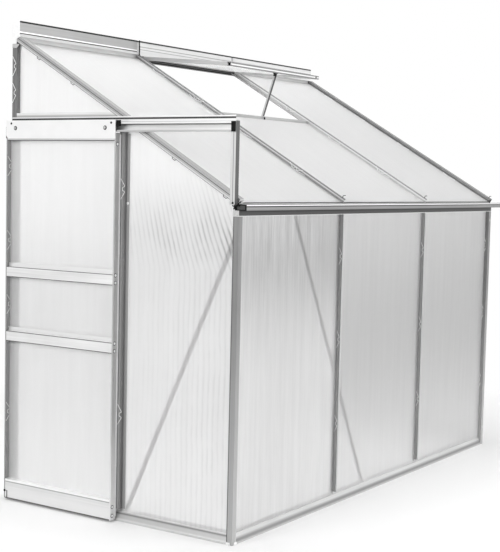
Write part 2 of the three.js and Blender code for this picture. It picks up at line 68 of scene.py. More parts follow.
def addNode(tree, kind, values=None, **settings):
    # values: socket name or number -> a number, a vector or another node's socket
    node = tree.nodes.new(kind)
    for key, value in settings.items():
        setattr(node, key, value)
    for key, value in (values or {}).items():
        socket = node.inputs[key]
        if isinstance(value, bpy.types.NodeSocket):
            tree.links.new(value, socket)
        else:
            socket.default_value = value
    return node


def mathNode(tree, operation, first, second=0.0, third=0.0):
    return addNode(tree, "ShaderNodeMath", {0: first, 1: second, 2: third}, operation=operation).outputs[0]


def noiseLevel(tree, place, scale, detail, roughness=0.5):
    values = {"Vector": place, "Scale": scale, "Detail": detail, "Roughness": roughness}
    return addNode(tree, "ShaderNodeTexNoise", values).outputs[0]


def rangeLevel(tree, value, low, high, lowLevel=0.0, highLevel=1.0, kind="LINEAR"):
    # lowLevel where the value is low, highLevel where it is high, and no further beyond them
    values = {"Value": value, "From Min": low, "From Max": high, "To Min": lowLevel, "To Max": highLevel}
    return addNode(tree, "ShaderNodeMapRange", values, interpolation_type=kind).outputs[0]


def blendShades(tree, share, low, high):
    # low where share is 0, high where it is 1
    node = addNode(tree, "ShaderNodeMix", {0: share, 6: low, 7: high}, data_type="RGBA")
    return node.outputs[2]


view = {
    "place": (-5.298, -3.3242, 1.462),
    "turn": -56.479, "nod": -4.398, "tilt": -1.311,    # degrees
    "focus": 1242.5, "longSide": 552,                  # in pixels of the 500 x 552 picture
    "sensorWidth": 36, "reach": 200,
}


def addCamera():
    lens = bpy.data.cameras.new("camera")
    lens.sensor_width = view["sensorWidth"]
    lens.lens = lens.sensor_width * view["focus"] / view["longSide"]
    lens.clip_end = view["reach"]
    camera = bpy.data.objects.new("camera", lens)
    bpy.context.scene.collection.objects.link(camera)
    turn = Matrix.Rotation(math.radians(view["turn"]), 3, "Z")
    nod = Matrix.Rotation(math.radians(view["nod"]), 3, "X")
    tilt = Matrix.Rotation(math.radians(view["tilt"]), 3, "Y")
    upright = Matrix.Rotation(math.radians(90), 3, "X")
    camera.rotation_euler = (turn @ nod @ tilt @ upright).to_euler()
    camera.location = view["place"]
    bpy.context.scene.camera = camera


addCamera()
print("camera placed")


studio = {
    "floorSize": 60.0, "floorDrop": 0.0006, "floorShade": 236, "floorLift": 0.16,
    "fadeStart": 1.7, "fadeEnd": 3.0,
    "worldStrength": 0.345,
    "lamps": (
        # name, place, aim, size, watts
        ("front_lamp", (0.6, -6.0, 1.4), (0.0, 0.0, 0.6), 3.0, 265),
        ("side_lamp", (-6.2, 0.6, 3.0), (0.0, 0.0, 1.0), 3.0, 155),
        ("top_lamp", (0.0, 0.6, 6.4), (0.0, 0.0, 0.8), 4.0, 195),
    ),
}


def seenRays(tree):
    # 1 for rays that show the backdrop: straight from the camera, in metal or through glass
    path = addNode(tree, "ShaderNodeLightPath")
    glossy = mathNode(tree, "MAXIMUM", path.outputs["Is Camera Ray"], path.outputs["Is Glossy Ray"])
    return mathNode(tree, "MAXIMUM", glossy, path.outputs["Is Transmission Ray"])


def addStudio():
    scene = bpy.context.scene
    world = bpy.data.worlds.new("studio")
    scene.world = world
    world.use_nodes = True
    tree = world.node_tree
    tree.nodes.clear()
    strength = addNode(tree, "ShaderNodeMix", {0: seenRays(tree), 2: studio["worldStrength"], 3: 1.0})
    sky = addNode(tree, "ShaderNodeBackground", {"Color": (1, 1, 1, 1), "Strength": strength.outputs[0]})
    addNode(tree, "ShaderNodeOutputWorld", {"Surface": sky.outputs[0]})

    half = studio["floorSize"] / 2
    sheet = bpy.data.meshes.new("floor")
    drop = -studio["floorDrop"]
    corners = [(-half, -half, drop), (half, -half, drop), (half, half, drop), (-half, half, drop)]
    sheet.from_pydata(corners, [], [(0, 1, 2, 3)])
    floor = bpy.data.objects.new("floor", sheet)
    scene.collection.objects.link(floor)
    material = bpy.data.materials.new("floor")
    material.use_nodes = True
    tree = material.node_tree
    tree.nodes.clear()
    matt = addNode(tree, "ShaderNodeBsdfDiffuse", {"Color": grey(studio["floorShade"])})
    lift = mathNode(tree, "MULTIPLY", seenRays(tree), studio["floorLift"])
    glow = addNode(tree, "ShaderNodeEmission", {"Color": (1, 1, 1, 1), "Strength": lift})
    both = addNode(tree, "ShaderNodeAddShader", {0: matt.outputs[0], 1: glow.outputs[0]})
    white = addNode(tree, "ShaderNodeEmission", {"Color": (1, 1, 1, 1), "Strength": 1.0})
    spot = addNode(tree, "ShaderNodeTexCoord").outputs["Object"]
    away = addNode(tree, "ShaderNodeVectorMath", {0: spot}, operation="LENGTH").outputs["Value"]
    fade = rangeLevel(tree, away, studio["fadeStart"], studio["fadeEnd"])
    share = mathNode(tree, "MULTIPLY", fade, seenRays(tree))
    shown = addNode(tree, "ShaderNodeMixShader", {0: share, 1: both.outputs[0], 2: white.outputs[0]})
    addNode(tree, "ShaderNodeOutputMaterial", {"Surface": shown.outputs[0]})
    sheet.materials.append(material)
    floor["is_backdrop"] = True

    for name, place, aim, size, watts in studio["lamps"]:
        lamp = bpy.data.lights.new(name, "AREA")
        lamp.shape = "SQUARE"
        lamp.size = size
        lamp.energy = watts
        holder = bpy.data.objects.new(name, lamp)
        scene.collection.objects.link(holder)
        holder.location = place
        holder.rotation_euler = (Vector(aim) - Vector(place)).to_track_quat("-Z", "Y").to_euler()
    scene.view_settings.view_transform = "Standard"


addStudio()
print("studio ready")


metal = {
    "metallic": 0.45, "roughness": 0.4, "roughSpread": 0.16,
    "darker": 0.9,                     # shade of the dark drawing lines, as a share of the bar's own
    "across": 90.0, "along": 1.6,      # how often the drawing lines change across and along a bar
    "hazeShare": 0.35, "hazeScale": 5.0, "pitScale": 420.0,
    "bump": 0.35, "bumpDepth": 0.00006,
    "softEdge": 0.001,                 # length over which a mark fades, where the mark names none
}
whitePaint = {
    "shade": 240, "scuffShade": 236, "cloudScale": 14.0, "roughness": 0.38, "roughSpread": 0.2,
    "grainScale": 900.0, "bump": 0.2, "bumpDepth": 0.0001,
}
blackPlastic = {
    "shade": 14, "worn": 26, "capSheen": 78, "capWorn": 92,
    "wearScale": 60.0, "roughness": 0.6, "roughSpread": 0.2, "shine": 0.12,
    "grainScale": 1400.0, "bump": 0.25, "bumpDepth": 0.0001,
}
sheetLooks = {
    # shade, share that lets light through, blur, shade of the light that passes, share of the streaks,
    # haze as (height in metres, share of the shade) pairs, strength of the wavy bands.
    # Each group's shade is painted light and shade on the one sheet, the haze pairs paint shade
    # that changes with height, and the wavy bands are painted shade for the webs' moiré
    "front": {"shade": 229, "clear": 0.75, "blur": 0.3, "passed": 220, "streak": 0.11,
              "haze": ((0.0, 1.0), (0.6, 1.02), (0.88, 0.92), (1.12, 0.71), (1.32, 0.85)), "moireBands": 0.0},
    "farFront": {"shade": 228, "clear": 0.75, "blur": 0.3, "passed": 220, "streak": 0.06,
                 "haze": ((0.0, 1.0), (0.26, 0.98), (0.62, 0.79), (1.0, 0.82), (1.32, 0.94)), "moireBands": 0.0},
    "gable": {"shade": 249, "clear": 0.75, "blur": 0.3, "passed": 230, "streak": 0.05,
              "haze": ((0.0, 0.93), (0.8, 0.92), (1.15, 0.84), (1.45, 1.0), (1.7, 1.0)), "moireBands": 0.36},
    "door": {"shade": 247, "clear": 0.7, "blur": 0.3, "passed": 230, "streak": 0.04,
             "haze": ((0.0, 0.94), (0.6, 0.92), (0.95, 0.86), (1.3, 0.99), (1.7, 1.0)), "moireBands": 0.0},
    "roof": {"shade": 236, "clear": 0.6, "blur": 0.35, "passed": 225, "streak": 0.03,
             "haze": ((1.35, 0.92), (1.6, 0.92), (1.8, 0.95), (2.0, 1.0)), "moireBands": 0.0},
    # the window's sheet drawn lighter than the roof's, as painted light on its underside
    "window": {"shade": 252, "clear": 0.88, "blur": 0.3, "passed": 230, "streak": 0.02,
               "haze": ((1.7, 1.0), (2.1, 1.0)), "moireBands": 0.0},
}
# painted bands of shade for the moiré of the sheets' two walls
moireBands = {
    "spacing": 0.0245, "lean": -0.16, "fan": 0.5, "wobble": 0.5, "wobbleScale": 3.2, "sharpness": 2.5,
    "height": 1.21, "above": 0.36, "below": 0.12, "lowShare": 0.25,
    "cornerAt": -0.5, "postShare": 0.3, "cornerShare": 1.4,      # more towards the corner post
    "patchScale": 11.0, "patchLow": 0.45, "patchHigh": 1.2,
}
# painted streaks of light and shade for the webs' moiré on the front wall
moireStreaks = {"strength": 0.2, "often": (150.0, 1.0, 5.0), "heights": (0.85, 1.28), "alongs": (-0.35, -0.75)}
ribs = {
    "spacing": 0.006, "wide": 0.0009, "deep": 0.00035, "darker": 0.945, "soft": 0.12,
    "thick": 0.006, "overrun": 0.02,
}
streaks = {"across": 9.0, "along": 0.5, "scale": 4.0}      # how often they change across and along a sheet
refraction = 1.3                                           # low, as the sheets are hollow


def startMaterial(name):
    material = bpy.data.materials.new(name)
    material.use_nodes = True
    tree = material.node_tree
    tree.nodes.clear()
    shader = tree.nodes.new("ShaderNodeBsdfPrincipled")
    addNode(tree, "ShaderNodeOutputMaterial", {"Surface": shader.outputs[0]})
    place = addNode(tree, "ShaderNodeTexCoord").outputs["Object"]
    return material, tree, shader, place


def paintLightAndShade(tree, place, colour, marks):
    # painted light and shade on a piece: shadow lines for its grooves, highlights for its lips, lit and
    # shaded zones, each between low and high along its direction
    for direction, low, high, shade, *softness in marks:
        soft = softness[0] if softness else metal["softEdge"]
        along = addNode(tree, "ShaderNodeVectorMath", {0: place, 1: direction}, operation="DOT_PRODUCT")
        away = mathNode(tree, "SUBTRACT", along.outputs["Value"], (low + high) / 2)
        half = (high - low) / 2
        share = rangeLevel(tree, mathNode(tree, "ABSOLUTE", away), half + soft / 2, half - soft / 2)
        colour = blendShades(tree, share, colour, grey(shade))
    return colour


def finishSurface(tree, shader, colour, rough, height, values):
    # a surface's colour, its gloss from one noise and its fine relief from another
    tree.links.new(colour, shader.inputs["Base Color"])
    roughness = mathNode(tree, "MULTIPLY_ADD", rough, values["roughSpread"],
                         values["roughness"] - values["roughSpread"] / 2)
    tree.links.new(roughness, shader.inputs["Roughness"])
    bump = addNode(tree, "ShaderNodeBump",
                   {"Height": height, "Strength": values["bump"], "Distance": values["bumpDepth"]})
    tree.links.new(bump.outputs[0], shader.inputs["Normal"])


def makeMetal(name, scales, shade, darkShade, turn=0.0, marks=()):
    # drawn aluminium: faint lines along the bar, a cloudy haze, small pits and the bar's painted light and
    # shade
    material, tree, shader, place = startMaterial(name)
    mapped = addNode(tree, "ShaderNodeMapping", {"Vector": place, "Rotation": (turn, 0, 0), "Scale": scales})
    lines = noiseLevel(tree, mapped.outputs[0], 1.0, 4.0, 0.6)
    haze = mathNode(tree, "MULTIPLY", noiseLevel(tree, place, metal["hazeScale"], 3.0), metal["hazeShare"])
    pits = noiseLevel(tree, place, metal["pitScale"], 2.0)
    both = mathNode(tree, "MULTIPLY_ADD", lines, 1 - metal["hazeShare"], haze)
    colour = blendShades(tree, rangeLevel(tree, both, 0.34, 0.66), grey(darkShade), grey(shade))
    finishSurface(tree, shader, paintLightAndShade(tree, place, colour, marks), pits, lines, metal)
    shader.inputs["Metallic"].default_value = metal["metallic"]
    return material


def makePaint():
    material, tree, shader, place = startMaterial("white_paint")
    cloud = noiseLevel(tree, place, whitePaint["cloudScale"], 5.0)
    grain = noiseLevel(tree, place, whitePaint["grainScale"], 1.0)
    scuffs = rangeLevel(tree, cloud, 0.3, 0.6)
    colour = blendShades(tree, scuffs, grey(whitePaint["scuffShade"]), grey(whitePaint["shade"]))
    finishSurface(tree, shader, colour, cloud, grain, whitePaint)
    return material


def makePlastic(name, shade, worn, marks=()):
    material, tree, shader, place = startMaterial(name)
    grain = noiseLevel(tree, place, blackPlastic["grainScale"], 2.0)
    wear = noiseLevel(tree, place, blackPlastic["wearScale"], 4.0)
    colour = blendShades(tree, rangeLevel(tree, wear, 0.5, 0.75), grey(shade), grey(worn))
    finishSurface(tree, shader, paintLightAndShade(tree, place, colour, marks), wear, grain, blackPlastic)
    shader.inputs["Specular IOR Level"].default_value = blackPlastic["shine"]
    return material


def heightShadeLevel(tree, height, pairs):
    # a share that changes smoothly with height, from (height, share) pairs
    lowest, highest = pairs[0][0], pairs[-1][0]
    ramp = addNode(tree, "ShaderNodeValToRGB", {0: rangeLevel(tree, height, lowest, highest)})
    ramp.color_ramp.interpolation = "B_SPLINE"
    stops = ramp.color_ramp.elements
    while len(stops) < len(pairs):
        stops.new(1.0)
    for stop, (spot, level) in zip(stops, pairs):
        stop.position = (spot - lowest) / (highest - lowest)
        stop.color = (level, level, level, 1)
    return ramp.outputs[0]


def moireShadeLevel(tree, place, parted, axis, strength):
    # painted shade in wavy upright bands that fan out, strongest at one height, for the moiré that the webs
    # of two walls make together
    spot, height = parted.outputs[axis], parted.outputs[2]
    wobble = noiseLevel(tree, place, moireBands["wobbleScale"], 4.0, 0.62)
    rise = mathNode(tree, "MAXIMUM", mathNode(tree, "SUBTRACT", height, moireBands["height"]), -moireBands["below"])
    lean = mathNode(tree, "MULTIPLY_ADD", spot, moireBands["fan"], moireBands["lean"])
    leaning = mathNode(tree, "MULTIPLY_ADD", rise, lean, spot)
    turns = mathNode(tree, "DIVIDE", leaning, moireBands["spacing"] / math.tau)
    turns = mathNode(tree, "MULTIPLY_ADD", wobble, moireBands["wobble"] * math.tau * 2, turns)
    wave = mathNode(tree, "MULTIPLY_ADD", mathNode(tree, "SINE", turns), 0.5, 0.5)
    wave = mathNode(tree, "POWER", wave, moireBands["sharpness"])
    upper = rangeLevel(tree, height, moireBands["height"] + moireBands["above"], moireBands["height"], kind="SMOOTHSTEP")
    lower = rangeLevel(tree, height, moireBands["height"] - moireBands["below"], moireBands["height"], moireBands["lowShare"],
                       kind="SMOOTHSTEP")
    corner = rangeLevel(tree, spot, 0.0, moireBands["cornerAt"], moireBands["postShare"], moireBands["cornerShare"])
    patches = rangeLevel(tree, noiseLevel(tree, place, moireBands["patchScale"], 2.0), 0.35, 0.65,
                         moireBands["patchLow"], moireBands["patchHigh"])
    near = mathNode(tree, "MULTIPLY", mathNode(tree, "POWER", upper, 1.5), lower)
    near = mathNode(tree, "MULTIPLY", near, mathNode(tree, "MULTIPLY", corner, patches))
    depth = mathNode(tree, "MULTIPLY", mathNode(tree, "MULTIPLY", wave, near), -strength)
    return mathNode(tree, "ADD", depth, 1.0)


def moireStreakLevel(tree, place, parted):
    # painted light and shade in fine broken streaks near the top of the front wall's first bay, for the webs'
    # moiré
    mapped = addNode(tree, "ShaderNodeMapping", {"Vector": place, "Scale": moireStreaks["often"]})
    thread = rangeLevel(tree, noiseLevel(tree, mapped.outputs[0], 1.0, 3.0, 0.7), 0.35, 0.65, -1.0)
    high = rangeLevel(tree, parted.outputs[2], *moireStreaks["heights"])
    near = rangeLevel(tree, parted.outputs[0], *moireStreaks["alongs"])
    swing = mathNode(tree, "MULTIPLY", thread, mathNode(tree, "MULTIPLY", high, near))
    return mathNode(tree, "MULTIPLY_ADD", swing, moireStreaks["strength"], 1.0)


def makeSheet(name, look, axis):
    # twin-wall sheet: cloudy glass that blurs what is far behind it, thin webs, soft streaks along them, and
    # painted shade by height and in wavy bands
    values = sheetLooks[look]
    material, tree, shader, place = startMaterial(name)
    parted = addNode(tree, "ShaderNodeSeparateXYZ", {0: place})
    turns = mathNode(tree, "DIVIDE", parted.outputs[axis], ribs["spacing"])
    web = rangeLevel(tree, mathNode(tree, "PINGPONG", turns, 0.5), ribs["soft"], 0.0)
    often, seldom = streaks["across"], streaks["along"]
    scales = (often, seldom if look in ("roof", "window") else often, seldom)
    mapped = addNode(tree, "ShaderNodeMapping", {"Vector": place, "Scale": scales})
    streak = rangeLevel(tree, noiseLevel(tree, mapped.outputs[0], streaks["scale"], 5.0, 0.65), 0.35, 0.65)
    dim = mathNode(tree, "MULTIPLY_ADD", streak, values["streak"], 1 - values["streak"])
    # painted light and shade in fine streaks on the front wall's first bay
    if look == "front":
        dim = mathNode(tree, "MULTIPLY", dim, moireStreakLevel(tree, place, parted))
    own = grey(values["shade"])
    darker = [channel * ribs["darker"] for channel in own[:3]] + [1]
    colour = blendShades(tree, web, own, darker)
    # the haze pairs: painted shade that changes with height
    level = mathNode(tree, "MULTIPLY", dim, heightShadeLevel(tree, parted.outputs[2], values["haze"]))
    # painted bands of shade for the webs' moiré
    if values["moireBands"]:
        level = mathNode(tree, "MULTIPLY", level, moireShadeLevel(tree, place, parted, axis, values["moireBands"]))
    shaded = addNode(tree, "ShaderNodeVectorMath", {0: colour, "Scale": level}, operation="SCALE")
    tree.links.new(shaded.outputs[0], shader.inputs["Base Color"])
    shader.inputs["Roughness"].default_value = values["blur"]
    shader.inputs["IOR"].default_value = refraction
    shader.inputs["Transmission Weight"].default_value = values["clear"]
    # the lamps' light passes the sheet, so that the inside isn't dark
    output = next(node for node in tree.nodes if node.type == "OUTPUT_MATERIAL")
    path = addNode(tree, "ShaderNodeLightPath")
    opening = addNode(tree, "ShaderNodeBsdfTransparent", {"Color": grey(values["passed"])})
    both = addNode(tree, "ShaderNodeMixShader",
                   {0: path.outputs["Is Shadow Ray"], 1: shader.outputs[0], 2: opening.outputs[0]})
    tree.links.new(both.outputs[0], output.inputs["Surface"])
    return material


roof = {
    "run": 1230, "rise": 705,          # in millimetres
    "windowOpening": 25,               # degrees between the window's sheet and the roof
}
pitch = math.atan(roof["rise"] / roof["run"])
windowTilt = pitch - math.radians(roof["windowOpening"])


def onSlope(x, along, off):
    # a point by its distance up the roof's slope and its height square to the slope
    y = along * math.cos(pitch) - off * math.sin(pitch)
    return x, y, along * math.sin(pitch) + off * math.cos(pitch)


wire = makeMetal("clip_wire", (160.0, 160.0, 160.0), 250, 232)
zinc = makeMetal("zinc_plating", (70.0, 70.0, 70.0), 206, 160)
darkSteel = makeMetal("dark_steel", (70.0, 70.0, 70.0), 44, 28)
barScales = {
    "X": (metal["along"], metal["across"], metal["across"]),
    "Y": (metal["across"], metal["along"], metal["across"]),
    "Z": (metal["across"], metal["across"], metal["along"]),
}
inX, inY, inZ = (1, 0, 0), (0, 1, 0), (0, 0, 1)
offSlope = onSlope(0, 0, 1)
offStay = (0, 0.95, 0.32)
barLooks = {
    # name -> axis the bar runs along, shade, starts of the names of the nodes, and marks of
    # (direction, low, high, shade, soft length where it isn't a millimetre), the later over the earlier.
    # All bars are one mill aluminium: each bar's own shade is painted light and shade, and most marks
    # are painted shadow lines, shaded faces and painted highlights
    # base_front: a dark band across its sloped face and a line at its top are painted shade, its lighter foot
    # painted light
    "base_front": ("X", 210, ("base_front",), (
        (inZ, -0.01, 0.006, 196, 0.003), (inZ, 0.007, 0.022, 136, 0.010), (inZ, 0.050, 0.054, 190))),
    # base_gable: a painted shadow line, with its upper part lighter as painted light
    "base_gable": ("Y", 222, ("base_gable",), (
        (inZ, 0.012, 0.030, 176, 0.006), (inZ, 0.028, 0.0355, 122, 0.005), (inZ, 0.0385, 0.054, 234))),
    # gutter: a painted highlight on its lip, with painted shadow lines above and below the lip and near its
    # foot
    "gutter": ("X", 138, ("gutter",), (
        (inZ, 1.3575, 1.3622, 42), (inZ, 1.3622, 1.3664, 236, 0.0008), (inZ, 1.3664, 1.370, 110, 0.0008),
        (inZ, 1.343, 1.3462, 104))),
    # eave: its front face darkened as the gutter's painted shadow, a painted shadow line under the gutter and
    # a painted highlight along its foot
    "eave": ("X", 150, ("eave_beam",), (
        (inY, -0.5900, -0.5862, 66, 0.0008), (inZ, 1.319, 1.3218, 226, 0.0012), (inZ, 1.337, 1.340, 40))),
    # ridge_cover: darker than the other ridge bars as painted shade, with a dark top line, a painted
    # highlight on its lip, a painted shadow line under it, and its lower part painted pale like the roof
    # sheet
    "ridge_cover": ("X", 180, ("ridge_cover_1",), (
        (inZ, 2.1345, 2.144, 14), (inZ, 2.060, 2.0850, 212), (inZ, 2.0850, 2.0900, 66),
        (inZ, 2.0900, 2.0960, 252))),
    # ridge_foot: dark lower lines as painted shadow under the open window, and a dark top line
    "ridge_foot": ("X", 200, ("ridge_bar",), (
        (inZ, 2.038, 2.0480, 56), (inZ, 2.0480, 2.0540, 120), (inZ, 2.1345, 2.144, 40))),
    # ridge: a dark top line, painted shade lines, and a dark band low down as painted shadow
    "ridge": ("X", 236, ("ridge_cover", "window_hinge_rail"), (
        (inZ, 2.1345, 2.144, 40), (inZ, 2.112, 2.1145, 130), (inZ, 2.0985, 2.101, 150),
        (inZ, 2.050, 2.0625, 96))),
    # window_head: near black as painted shadow under the open window, with a lighter painted line
    "window_head": ("X", 26, ("window_head_bar",), ((inZ, 2.0515, 2.0575, 150, 0.0008),)),
    # window_foot: painted shade lines along its edges
    "window_foot": ("X", 246, ("window_bottom_bar",), ((inZ, 1.998, 2.0066, 136), (inZ, 2.0136, 2.024, 126))),
    "window_side": ("Y", 190, ("window_side",), ()),
    # sill: a painted shadow line
    "sill": ("X", 206, ("window_sill",), ((inZ, 1.7635, 1.768, 130, 0.002),)),
    # stay: dark as painted shade, with a painted highlight along one side
    "stay": ("Z", 92, ("window_stay",), ((offStay, 0.6978, 0.71, 196, 0.0008),)),
    "bracket": ("X", 40, ("stay_bracket",), ()),
    # rails: painted shadow lines at the top and foot of their front faces, and the parts behind the front
    # face a little darker as painted shade
    "rail": ("Y", 236, ("door_rail",), (
        (inZ, 1.053, 1.0565, 110), (inZ, 1.009, 1.0132, 80, 0.0012), (inZ, 0.765, 0.7685, 110),
        (inZ, 0.721, 0.7252, 80, 0.0012), (inX, -1.2895, -1.27, 226))),
    # kick rail: a painted highlight on its top lip, painted shadow lines under the lip and at its foot, a
    # touch darker near the floor
    "kick": ("Y", 236, ("door_kick_rail",), (
        (inZ, 0.0, 0.06, 234, 0.05), (inZ, 0.0815, 0.0865, 170), (inZ, 0.0865, 0.096, 250),
        (inZ, 0.006, 0.0115, 80, 0.002))),
    # door_head: a painted shadow line along its foot, under the header plate
    "door_head": ("Y", 214, ("door_top_rail",), ((inZ, 1.612, 1.6165, 76),)),
    # track: darker inside as painted shade in its channel, painted shadow lines under its lip and above the
    # header plate, and a painted shade band at its foot
    "track": ("Y", 232, ("door_track",), (
        (inX, -1.2875, -1.2585, 190), (inZ, 1.680, 1.6838, 120, 0.002), (inZ, 1.6835, 1.702, 218),
        (inZ, 1.6915, 1.694, 150), (inZ, 1.7035, 1.7112, 56, 0.0012), (inZ, 1.648, 1.6582, 176, 0.003))),
    # crossbar: a painted shadow band along its foot, above the track
    "crossbar": ("Y", 236, ("gable_crossbar",), ((inZ, 1.7135, 1.7235, 150, 0.012),)),
    # gable_rafter: painted light and shade lines along its outer face
    "gable_rafter": ("Y", 168, ("rafter_gable_left",), (
        (offSlope, 1.4955, 1.510, 160, 0.002), (offSlope, 1.4700, 1.4728, 76),
        (offSlope, 1.4728, 1.4785, 196, 0.003), (offSlope, 1.4858, 1.4886, 74))),
    # far_rafter: darker as painted shade, with a painted shadow line
    "far_rafter": ("Y", 140, ("rafter_gable_right",), ((offSlope, 1.4835, 1.4885, 90, 0.002),)),
    # rafters: each its own shade as painted light, with a painted shadow line low on the flank, a painted
    # highlight band and a darker line at the head
    "rafter": ("Y", 160, ("rafter_1",), (
        (offSlope, 1.4688, 1.4738, 100), (offSlope, 1.4878, 1.4935, 212),
        (offSlope, 1.4938, 1.501, 136, 0.0008))),
    "second_rafter": ("Y", 204, ("rafter_2",), (
        (offSlope, 1.4688, 1.4725, 80), (offSlope, 1.4870, 1.4935, 226),
        (offSlope, 1.4938, 1.501, 150, 0.0008))),
    # wall_post: darker as painted shade, with a painted shadow line at one edge
    "wall_post": ("Z", 122, ("wall_post",), ((inY, 0.6255, 0.6285, 100),)),
    # door_post: a lighter band on its face as painted light
    "door_post": ("Z", 136, ("door_post",), ((inY, 0.001, 0.014, 166, 0.004),)),
    # post_flange: a painted shade band and a painted highlight at its edge
    "post_flange": ("Z", 164, (), ((inY, -0.0150, -0.0070, 166, 0.004), (inY, -0.0270, -0.0235, 226))),
    # corner_post: lighter towards its foot as painted light, with a painted dark edge and a painted highlight
    # at the corner
    "corner_post": ("Z", 134, ("corner_post",), (
        (inZ, -1.0, 0.5, 174, 0.9), (inY, -0.5645, -0.560, 70), (inX, -1.2305, -1.227, 196, 0.002))),
    # stud: a painted shadow line beside its head, the head lighter as a painted highlight
    "stud": ("Z", 176, ("stud",), ((inY, -0.5857, -0.5835, 96, 0.0006), (inY, -0.592, -0.5859, 186, 0.0004))),
    "stile": ("Z", 164, ("door_stile_left",), ()),
    # right_stile: lighter than the left stile and lighter again towards its foot, as painted light
    "right_stile": ("Z", 190, ("door_stile_right",), ((inZ, -0.2, 0.3, 234, 0.35),)),
    # support: painted shade lines on its front face
    "support": ("Z", 200, ("track_support",), (
        (inY, -0.584, -0.5825, 84, 0.0006), (inY, -0.573, -0.570, 120))),
    # front_brace: near black as painted shade, though the same aluminium as the gable's brace
    "front_brace": ("Z", 18, ("brace_front",), ()),
    "gable_brace": ("Z", 176, ("brace_gable",), ()),
}
sloped = ("gable_rafter", "far_rafter", "rafter", "second_rafter")
# one aluminium in copies, each with its own painted light and shade
barMetals = {
    name: makeMetal("drawn_" + name, barScales[axis], shade, shade * metal["darker"],
                    pitch if name in sloped else 0.0, marks)
    for name, (axis, shade, starts, marks) in barLooks.items()}


paint = makePaint()
plastic = makePlastic("black_plastic", blackPlastic["shade"], blackPlastic["worn"])
# the gutter caps: the same black plastic, drawn grey inside a black rim; the grey is a painted sheen
capMarks = ((inY, -0.6415, -0.6370, 14), (inY, -0.5935, -0.5885, 14),
            (inZ, 1.3640, 1.3690, 14), (inZ, 1.3430, 1.3475, 14))
capPlastic = makePlastic("cap_plastic", blackPlastic["capSheen"], blackPlastic["capWorn"], capMarks)
sheetFront = makeSheet("sheet_front_wall", "front", 0)
sheetFarFront = makeSheet("sheet_front_far", "farFront", 0)
sheetGable = makeSheet("sheet_gable_wall", "gable", 1)
sheetDoor = makeSheet("sheet_door_leaf", "door", 1)
sheetRoof = makeSheet("sheet_roof_slope", "roof", 0)
sheetWindow = makeSheet("sheet_window_leaf", "window", 0)

finishes = (
    # finish, starts of the names of the nodes that have it; the first match counts
    (capPlastic, ("gutter_cap",)),
    (plastic, ("track_cap", "roller_")),
    (paint, ("door_header_plate",)),
    (sheetFront, ("sheet_front_1",)),
    (sheetFarFront, ("sheet_front",)),
    (sheetGable, ("sheet_gable", "sheet_over_door")),
    (sheetDoor, ("door_sheet",)),
    (sheetRoof, ("sheet_roof",)),
    (sheetWindow, ("window_sheet",)),
    *((barMetals[name], barLooks[name][2]) for name in barLooks if barLooks[name][2]),
)


def dressParts():
    done = set()
    for material, starts in finishes:
        for name, part in parts.items():
            if name.startswith(starts) and name not in done:
                part.data.materials.clear()
                part.data.materials.append(material)
                done.add(name)
    left = sorted(set(parts) - done)
    print("dressed", len(done), "parts, left:", left)


dressParts()


def makeTree(name, sockets):
    # a node tree for a modifier: sockets are (label, kind, value)
    tree = bpy.data.node_groups.new(name, "GeometryNodeTree")
    tree.interface.new_socket("Geometry", in_out="INPUT", socket_type="NodeSocketGeometry")
    for label, kind, value in sockets:
        socket = tree.interface.new_socket(label, in_out="INPUT", socket_type="NodeSocket" + kind)
        if value is not None:
            socket.default_value = value
    tree.interface.new_socket("Geometry", in_out="OUTPUT", socket_type="NodeSocketGeometry")
    given = tree.nodes.new("NodeGroupInput")
    return tree, given.outputs


def endTree(tree, geometry, material):
    whole = addNode(tree, "GeometryNodeRealizeInstances", {0: geometry})
    painted = addNode(tree, "GeometryNodeSetMaterial", {"Geometry": whole.outputs[0], "Material": material})
    addNode(tree, "NodeGroupOutput", {0: painted.outputs[0]})


def runTree(name, mesh, tree, values, body, replaced=()):
    # applies the tree to the mesh and keeps the result as a plain piece on its body
    source = bpy.data.objects.new(name + "_source", mesh)
    bpy.context.scene.collection.objects.link(source)
    step = source.modifiers.new("shape", "NODES")
    step.node_group = tree
    for item in tree.interface.items_tree:
        if item.item_type == "SOCKET" and item.in_out == "INPUT" and item.name in values:
            step[item.identifier] = values[item.name]
    graph = bpy.context.evaluated_depsgraph_get()
    result = bpy.data.meshes.new_from_object(source.evaluated_get(graph))
    bpy.data.objects.remove(source)
    result.name = name
    return keepPiece(name, result, body, replaced)


def keepPiece(name, mesh, body, replaced=()):
    piece = bpy.data.objects.new(name, mesh)
    bpy.context.scene.collection.objects.link(piece)
    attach(piece, body)
    if replaced:
        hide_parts(*replaced)
    return piece


def bodyOf(node):
    return next(body for body, nodes in frame["record"]["behaviour"]["bodies"].items() if node in nodes)


# the twin-wall sheets again, with their webs standing out as fine ridges on both faces
sheetTurns = {
    # start of the node's name -> turn of a sheet lying in x (across the webs) and y (along them)
    "sheet_front": (math.pi / 2, 0, 0),
    "sheet_gable": (math.pi / 2, 0, math.pi / 2),
    "sheet_over_door": (math.pi / 2, 0, math.pi / 2),
    "door_sheet": (math.pi / 2, 0, math.pi / 2),
    "sheet_roof": (pitch, 0, 0),
    "window_sheet": (windowTilt, 0, 0),
}


